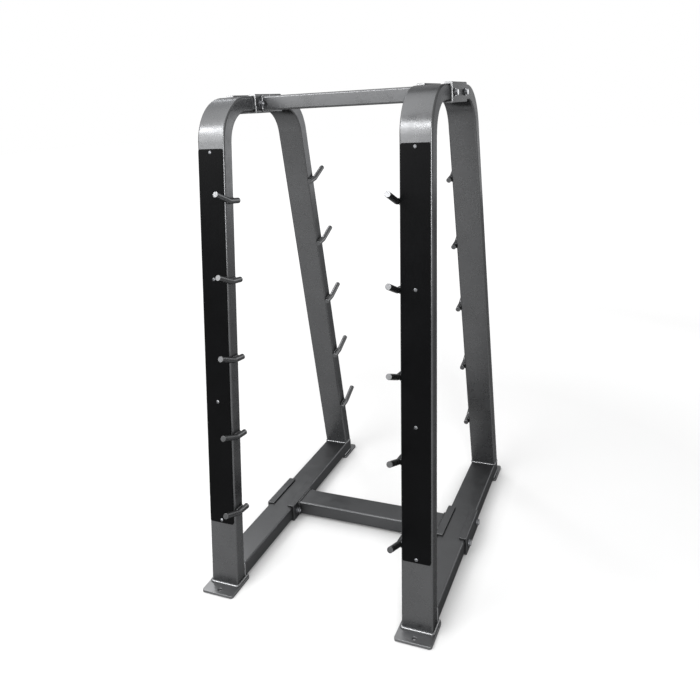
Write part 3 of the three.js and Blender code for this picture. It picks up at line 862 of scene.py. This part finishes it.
def hexagon_at(angle, flats):
    """How far a hexagon reaches in a direction, for the distance across its flats."""
    within = (angle + math.pi / 6) % (math.pi / 3) - math.pi / 6
    return flats / 2 / math.cos(within)


def drawn_ring(bm, edges, way):
    """The next ring of a turned shape, started as a copy of the last one."""
    made = bmesh.ops.extrude_edge_only(bm, edges=edges)
    verts = those_of(bmesh.types.BMVert, made["geom"])
    rim = [e for e in those_of(bmesh.types.BMEdge, made["geom"]) if all(v in verts for v in e.verts)]
    shift(bm, verts, way)
    return verts, rim


def turned_on(bm, rim, profile):
    """The rim of a turned shape carried on through pairs of radius and height, and closed."""
    radius, height = profile[0]
    for next_radius, next_height in profile[1:]:
        verts, rim = drawn_ring(bm, rim, (0, 0, next_height - height))
        grow = next_radius / radius
        bmesh.ops.scale(bm, verts=verts, vec=(grow, grow, 1.0))
        radius, height = next_radius, next_height
    bmesh.ops.edgeloop_fill(bm, edges=rim)


def turned(bm, profile, steps):
    """A body turned about the Z axis from pairs of radius and height, closed at both ends."""
    radius, height = profile[0]
    at = Matrix.Translation((0, 0, height))
    made = bmesh.ops.create_circle(bm, cap_ends=True, segments=steps, radius=radius, matrix=at)
    turned_on(bm, rim_of(made), profile)


def chamfered_hexagon(bm, flats, top, bottom):
    """A hexagon between two heights, its top corners turned off to a circle."""
    crown = flats / 2 * HEXAGON_CROWN
    at = Matrix.Translation((0, 0, top))
    made = bmesh.ops.create_circle(bm, cap_ends=True, segments=HEXAGON_STEPS, radius=crown, matrix=at)
    verts, rim = drawn_ring(bm, rim_of(made), (0, 0, 0))
    for vert in verts:
        angle = math.atan2(vert.co.y, vert.co.x)
        reach = hexagon_at(angle, flats)
        drop = (reach - crown) * math.tan(HEXAGON_CHAMFER)
        vert.co = Vector((reach * math.cos(angle), reach * math.sin(angle), top - drop))
    verts, rim = drawn_ring(bm, rim, (0, 0, 0))
    for vert in verts:
        vert.co.z = bottom
    bmesh.ops.edgeloop_fill(bm, edges=rim)


bolt_zinc = zinc_plating("bright zinc on bolts", ZINC, ZINC_DULL)

bolt_seat = web_outside + SEAT
head_seat = bolt_seat + WASHER_THICK
thread_end = head_seat + NUT_HIGH + BOLT_TAIL
thread_start = head_seat - THREAD_PAST_NUT

shank = [(BOLT_ACROSS / 2, head_seat + HEAD_HIGH / 2), (BOLT_ACROSS / 2, -thread_start)]
ridge = -thread_start
while ridge - THREAD_PITCH > THREAD_RUN_OUT - thread_end:
    shank.append((BOLT_ACROSS / 2 - THREAD_DEEP, ridge - THREAD_PITCH / 2))
    shank.append((BOLT_ACROSS / 2, ridge - THREAD_PITCH))
    ridge -= THREAD_PITCH
shank.append((BOLT_ACROSS / 2 - THREAD_TIP, -thread_end))

rim = WASHER_ACROSS / 2
soft_rim = rim - WASHER_EDGE
for side, outward in SIDES:
    for level, y, z in joints:
        for end, offset in (("front", -BOLT_OFFSET), ("rear", BOLT_OFFSET)):
            bm = bmesh.new()
            turned(bm, shank, BOLT_STEPS)
            chamfered_hexagon(bm, HEAD_FLATS, head_seat + HEAD_HIGH, head_seat)
            before = set(bm.verts)
            chamfered_hexagon(bm, HEAD_FLATS, head_seat + NUT_HIGH, head_seat)
            nut = [vert for vert in bm.verts if vert not in before]
            swing(bm, nut, HALF_TURN, "X")
            for near, far in ((bolt_seat, head_seat), (-head_seat, -bolt_seat)):
                sides = [(rim, near + WASHER_EDGE), (rim, far - WASHER_EDGE)]
                turned(bm, [(soft_rim, near)] + sides + [(soft_rim, far)], WASHER_STEPS)
            swing(bm, bm.verts[:], outward * QUARTER_TURN, "Y")
            shift(bm, bm.verts[:], (outward * FRAME_X, y + offset, z))
            name = f"{level}_{side}_{end}"
            node = f"through_bolt_{name}"
            hand_over(bm, f"bolt_and_nut_{name}", bolt_zinc, node, BOLT_CREASE)


# Hooks. Twenty hooks of 19 mm round bar. A short arm lies square across the side of the leg and is
# welded to it above and below. The bar is bent once, and the long arm rises to carry a barbell.

ROD_ACROSS = 0.019
ROD_STEPS = 40
ROD_BEND = 0.030
ROD_BEND_STEPS = 6
ROD_CHAMFER = 0.0008
HOOK_LEVELS = (0.275, 0.5385, 0.802, 1.0655, 1.329)
HOOK_REACH = 0.074
HOOK_TAIL = 0.010
HOOK_RISE = math.radians(16)
BEND_INSET = 0.008
HOOK_BEAD_SIZE = 0.0028
HOOK_BEAD_HEIGHT = 0.0080
HOOK_BEAD_SINK = 0.0014
HOOK_BEAD_MARGIN = 0.005

hook_coat = powder_coat("grey powder coat on hooks", dullness=0.27)


def on_rear_leg(x):
    """The rear leg's own frame, like the front leg's, turned round to face the rear."""
    stand = Matrix.Translation((x, REAR_FACE, REAR_LEG_BOTTOM)) @ Matrix.Rotation(HALF_TURN, 4, "Z")
    return stand @ Matrix.Rotation(-REAR_LEAN, 4, "X")


def bent_hook(bm):
    """A hook in the frame of its leg: +Y runs back across the leg, -Y out to the bar."""
    narrow = ROD_ACROSS / 2 - ROD_CHAMFER
    made = bmesh.ops.create_circle(bm, cap_ends=True, segments=ROD_STEPS, radius=narrow)
    end = made["verts"][0].link_faces[0]
    swing(bm, end.verts[:], QUARTER_TURN, "X")
    shift(bm, end.verts[:], (0, TUBE_DEEP + HOOK_TAIL, 0))
    end = drawn_on(bm, end, (0, -ROD_CHAMFER, 0))
    full = ROD_ACROSS / (ROD_ACROSS - 2 * ROD_CHAMFER)
    bmesh.ops.scale(bm, verts=end.verts[:], vec=(full, 1.0, full))
    bend_start = BEND_INSET + ROD_BEND * math.tan(HOOK_RISE / 2)
    end = drawn_on(bm, end, (0, bend_start - TUBE_DEEP - HOOK_TAIL + ROD_CHAMFER, 0))
    end = bent_round(bm, end, (0, bend_start, ROD_BEND), (1, 0, 0), -HOOK_RISE, ROD_BEND_STEPS)
    way = Vector((0, -math.cos(HOOK_RISE), math.sin(HOOK_RISE)))
    tip = Vector((0, -HOOK_REACH, (HOOK_REACH + BEND_INSET) * math.tan(HOOK_RISE)))
    length = (tip - end.calc_center_median()).length
    end = drawn_on(bm, end, way * (length - ROD_CHAMFER))
    centre = end.calc_center_median()
    end = drawn_on(bm, end, way * ROD_CHAMFER)
    about_tip = Matrix.Translation(-centre - way * ROD_CHAMFER)
    bmesh.ops.scale(bm, verts=end.verts[:], vec=(1 / full, 1 / full, 1 / full), space=about_tip)


rod_out = TUBE_WIDE / 2 + SEAT + ROD_ACROSS / 2
for side, outward in SIDES:
    x = outward * FRAME_X
    for leg, frame_of, lean, foot, facing in (
        ("front", on_front_leg(x), FRONT_LEAN, RAIL_BOTTOM, 1),
        ("rear", on_rear_leg(x), REAR_LEAN, REAR_LEG_BOTTOM, -1),
    ):
        towards_leg = outward * facing
        valley = towards_leg * (ROD_ACROSS / 2 - HOOK_BEAD_SINK)
        for number, level in enumerate(HOOK_LEVELS, start=1):
            along = (level - foot) / math.cos(lean)
            place = frame_of @ Matrix.Translation((-towards_leg * rod_out, 0, along))
            bm = bmesh.new()
            bent_hook(bm)
            bmesh.ops.transform(bm, matrix=place, verts=bm.verts[:])
            name = f"{leg}_{side}_{number}"
            hand_over(bm, f"bar_hook_{name}", hook_coat, f"hook_{name}")

            bm = bmesh.new()
            for height in (-HOOK_BEAD_HEIGHT, HOOK_BEAD_HEIGHT):
                start = place @ Vector((valley, TUBE_DEEP - HOOK_BEAD_MARGIN, height))
                stop = place @ Vector((valley, HOOK_BEAD_MARGIN, height))
                lay_bead(bm, [start, stop], HOOK_BEAD_SIZE)
            hand_over(bm, f"weld_hook_{name}", hook_coat, None, ROUND_ALL_OVER)


# Guard panels. A long strip of black plastic faces each front leg, so that loaded bars don't strike
# the paint. It is cut from 5 mm sheet with rounded corners and softened edges, and held by four
# screws.

PANEL_WIDE = 0.0914
PANEL_FROM_FOOT = 0.224
PANEL_FROM_TOP = 0.164
PANEL_THICK = 0.005
PANEL_CORNER = 0.006
PANEL_EDGE = 0.0008
PANEL_EDGE_STEPS = 3
PANEL_SCREWS = 4
SCREW_MARGIN = 0.011
SCREW_HOLE = 0.0063
PANEL_BLACK = (0.0012, 0.00125, 0.0014, 1.0)

panel_plastic = moulded_plastic(
    "black guard sheet",
    PANEL_BLACK,
    dullness=0.36,
    grain_fineness=1500.0,
    grain_strength=0.25,
    sheen=0.04,
)

leg_long = (FRAME_TOP + TUBE_DEEP / 2 - RAIL_BOTTOM) / math.cos(FRONT_LEAN)
panel_long = leg_long - PANEL_FROM_FOOT - PANEL_FROM_TOP
panel_middle = PANEL_FROM_FOOT + panel_long / 2
screw_pitch = (panel_long - 2 * SCREW_MARGIN) / (PANEL_SCREWS - 1)
screw_rows = [PANEL_FROM_FOOT + SCREW_MARGIN + row * screw_pitch for row in range(PANEL_SCREWS)]

for side, outward in SIDES:
    bm = bmesh.new()
    holes = [(0.0, row - panel_middle) for row in screw_rows]
    punched_sheet(bm, PANEL_WIDE, panel_long, PANEL_CORNER, holes, SCREW_HOLE)
    thicken(bm, bm.faces[:], (0, 0, PANEL_THICK))
    swing(bm, bm.verts[:], QUARTER_TURN, "X")
    shift(bm, bm.verts[:], (0, -SEAT, panel_middle))
    bmesh.ops.transform(bm, matrix=on_front_leg(outward * FRAME_X), verts=bm.verts[:])
    piece = hand_over(bm, f"leg_guard_{side}", panel_plastic, f"guard_panel_{side}")
    even_shading(edges_broken(piece, PANEL_EDGE, PANEL_EDGE_STEPS))


# Panel screws. Low domed zinc plated screws with a hexagon socket hold the panels. They are upset
# from wire and threaded, and run through the sheet into the front wall of the leg.

SCREW_HEAD = 0.012
SCREW_HIGH = 0.0034
SCREW_SHANK = 0.0055
SCREW_STEPS = 36
SCREW_BITE = 0.007
SCREW_CREASE = 30.0
SOCKET_MOUTH = 0.0030
SOCKET_FLATS = 0.0035
SOCKET_DEEP = 0.0018
DOME_ANGLES = (60, 50, 40, 30, 20, 10, 0)
SCREW_GREY = (0.19, 0.193, 0.20, 1.0)
SCREW_SHADE = (0.10, 0.103, 0.11, 1.0)

screw_zinc = zinc_plating("dull zinc on screws", SCREW_GREY, SCREW_SHADE)

screw_seat = SEAT + PANEL_THICK + SEAT
screw_tip = screw_seat - PANEL_THICK - TUBE_WALL - SCREW_BITE

screw_side = [(SOCKET_MOUTH, screw_seat + SCREW_HIGH)]
for angle in DOME_ANGLES:
    dome_radius = SCREW_HEAD / 2 * math.cos(math.radians(angle))
    if dome_radius > screw_side[-1][0] + JOINED_WITHIN:
        screw_side.append((dome_radius, screw_seat + SCREW_HIGH * math.sin(math.radians(angle))))
screw_side.append((SCREW_SHANK / 2, screw_seat))
screw_side.append((SCREW_SHANK / 2, screw_tip + SCREW_SHANK / 2))
screw_side.append((SCREW_SHANK / 4, screw_tip))


def domed_screw(bm):
    """A screw that stands along Z, its socket at the top."""
    made = bmesh.ops.create_circle(bm, cap_ends=False, segments=SCREW_STEPS, radius=SOCKET_MOUTH)
    shift(bm, made["verts"], (0, 0, screw_seat + SCREW_HIGH))
    rim = rim_of(made)
    verts, socket = drawn_ring(bm, rim, (0, 0, 0))
    for vert in verts:
        angle = math.atan2(vert.co.y, vert.co.x)
        reach = hexagon_at(angle, SOCKET_FLATS)
        vert.co.x = reach * math.cos(angle)
        vert.co.y = reach * math.sin(angle)
    verts, socket = drawn_ring(bm, socket, (0, 0, -SOCKET_DEEP))
    bmesh.ops.edgeloop_fill(bm, edges=socket)
    turned_on(bm, rim, screw_side)


for side, outward in SIDES:
    for number, row in enumerate(screw_rows, start=1):
        bm = bmesh.new()
        domed_screw(bm)
        swing(bm, bm.verts[:], QUARTER_TURN, "X")
        shift(bm, bm.verts[:], (0, 0, row))
        bmesh.ops.transform(bm, matrix=on_front_leg(outward * FRAME_X), verts=bm.verts[:])
        node = f"panel_screw_{side}_{number}"
        hand_over(bm, f"guard_screw_{side}_{number}", screw_zinc, node, SCREW_CREASE)


# Studio. A plain pale floor runs out of sight under an even sky, and both look white to the camera
# and in reflections. Four soft lamps hang in front and overhead, and three weaker ones behind. The
# camera stands where the photograph was taken.

FLOOR_TONE = (0.36, 0.36, 0.36, 1.0)
FLOOR_REACH = 30.0
GLOW_NEAR = 0.52
GLOW_FAR = 1.0
GLOW_RISES_FROM = 1.5
GLOW_RISES_TO = 5.0
PAINTED_SHADOW_REACH = 0.10
WHITE = (1.0, 1.0, 1.0, 1.0)
SKY_LIGHT = 0.24
SKY_SEEN = 1.0
LAMPS = (
    ("wide soft lamp in front", (-1.6, -3.2, 2.45), (0.0, -0.3, 1.5), 2.7, 1.35, 66.0),
    ("long lamp over it", (-1.1, -2.7, 3.2), (0.0, -0.3, 1.55), 3.2, 0.4, 104.0),
    ("broad lamp overhead", (-1.1, -0.5, 3.2), (0.0, -0.4, 1.6), 2.7, 3.4, 70.0),
    ("lamp behind on the left", (-1.5, 2.0, 3.6), (0.0, 0.0, 1.6), 2.8, 1.2, 27.0),
    ("small lamp beside it", (-2.5, 2.3, 3.7), (-0.35, -0.3, 1.64), 0.7, 0.4, 40.0),
    ("lamp behind on the right", (1.35, 2.7, 1.65), (0.0, 0.0, 1.5), 1.7, 1.5, 23.0),
    ("tall lamp on the right", (1.8, -3.4, 2.0), (0.0, -0.4, 1.4), 0.6, 1.6, 100.0),
)
CAMERA_SPOT = (0.9539, -2.2967, 1.6137)
CAMERA_HEADING = 0.4024
CAMERA_PITCH = -0.2023
CAMERA_ROLL = -0.0551
CAMERA_SENSOR = 36.0
CAMERA_LENS = 36.0
CAMERA_SHIFT = -0.145
CAMERA_SEES_TO = 100.0

bm = bmesh.new()
bmesh.ops.create_grid(bm, x_segments=1, y_segments=1, size=FLOOR_REACH)
floor_mesh = bpy.data.meshes.new("studio_floor")
bm.to_mesh(floor_mesh)
bm.free()
floor = bpy.data.objects.new("studio_floor", floor_mesh)
bpy.context.scene.collection.objects.link(floor)


def seen_directly(nodes, links):
    """1 for rays from the camera, or mirrored or bent by a piece, and 0 for the light itself."""
    path = nodes.new("ShaderNodeLightPath")
    total = path.outputs["Is Camera Ray"]
    for kind in ("Is Glossy Ray", "Is Transmission Ray"):
        total = reckoned(nodes, links, "ADD", total, path.outputs[kind])
    return total


paper = bpy.data.materials.new("pale floor")
paper.use_nodes = True
nodes = paper.node_tree.nodes
links = paper.node_tree.links
nodes.clear()
sheet = nodes.new("ShaderNodeBsdfDiffuse")
sheet.inputs["Color"].default_value = FLOOR_TONE
glow = nodes.new("ShaderNodeEmission")
# The floor's glow is dimmed by ambient occlusion close to the rack: a painted contact shadow.
painted_contact_shadow = nodes.new("ShaderNodeAmbientOcclusion")
painted_contact_shadow.samples = 8
painted_contact_shadow.inputs["Distance"].default_value = PAINTED_SHADOW_REACH
spot = nodes.new("ShaderNodeTexCoord").outputs["Object"]
away = nodes.new("ShaderNodeVectorMath")
away.operation = "LENGTH"
links.new(spot, away.inputs[0])
rise = span(
    nodes, links, away.outputs["Value"], GLOW_RISES_FROM, GLOW_RISES_TO, GLOW_NEAR, GLOW_FAR
)
lit = reckoned(nodes, links, "MULTIPLY", painted_contact_shadow.outputs["AO"], rise)
strength = reckoned(nodes, links, "MULTIPLY", seen_directly(nodes, links), lit)
links.new(strength, glow.inputs["Strength"])
both = nodes.new("ShaderNodeAddShader")
links.new(sheet.outputs["BSDF"], both.inputs[0])
links.new(glow.outputs["Emission"], both.inputs[1])
surface = nodes.new("ShaderNodeOutputMaterial")
links.new(both.outputs["Shader"], surface.inputs["Surface"])
floor_mesh.materials.append(paper)

sky = bpy.data.worlds.new("studio sky")
bpy.context.scene.world = sky
sky.use_nodes = True
nodes = sky.node_tree.nodes
links = sky.node_tree.links
nodes.clear()
lighting = nodes.new("ShaderNodeBackground")
lighting.inputs["Color"].default_value = WHITE
lighting.inputs["Strength"].default_value = SKY_LIGHT
white = nodes.new("ShaderNodeBackground")
white.inputs["Color"].default_value = WHITE
white.inputs["Strength"].default_value = SKY_SEEN
choice = nodes.new("ShaderNodeMixShader")
links.new(seen_directly(nodes, links), choice.inputs["Fac"])
links.new(lighting.outputs["Background"], choice.inputs[1])
links.new(white.outputs["Background"], choice.inputs[2])
outside = nodes.new("ShaderNodeOutputWorld")
links.new(choice.outputs["Shader"], outside.inputs["Surface"])

for name, spot, aim, wide, high, watts in LAMPS:
    light = bpy.data.lights.new(name, "AREA")
    light.shape = "RECTANGLE"
    light.size = wide
    light.size_y = high
    light.energy = watts
    lamp = bpy.data.objects.new(name, light)
    bpy.context.scene.collection.objects.link(lamp)
    lamp.location = spot
    lamp.rotation_euler = (Vector(aim) - Vector(spot)).to_track_quat("-Z", "Y").to_euler()

level_ahead = Vector((-math.sin(CAMERA_HEADING), math.cos(CAMERA_HEADING), 0.0))
level_right = Vector((math.cos(CAMERA_HEADING), math.sin(CAMERA_HEADING), 0.0))
ahead = level_ahead * math.cos(CAMERA_PITCH) + ALONG_Z * math.sin(CAMERA_PITCH)
level_up = level_right.cross(ahead)
right = level_right * math.cos(CAMERA_ROLL) + level_up * math.sin(CAMERA_ROLL)
up = level_up * math.cos(CAMERA_ROLL) - level_right * math.sin(CAMERA_ROLL)
view = bpy.data.cameras.new("photo view")
view.sensor_fit = "HORIZONTAL"
view.sensor_width = CAMERA_SENSOR
view.lens = CAMERA_LENS
view.shift_y = CAMERA_SHIFT
view.clip_end = CAMERA_SEES_TO
camera = bpy.data.objects.new("photo view", view)
bpy.context.scene.collection.objects.link(camera)
facing = Matrix((right, up, -ahead)).transposed().to_4x4()
camera.matrix_world = Matrix.Translation(CAMERA_SPOT) @ facing
bpy.context.scene.camera = camera
bpy.context.scene.view_settings.view_transform = "Standard"
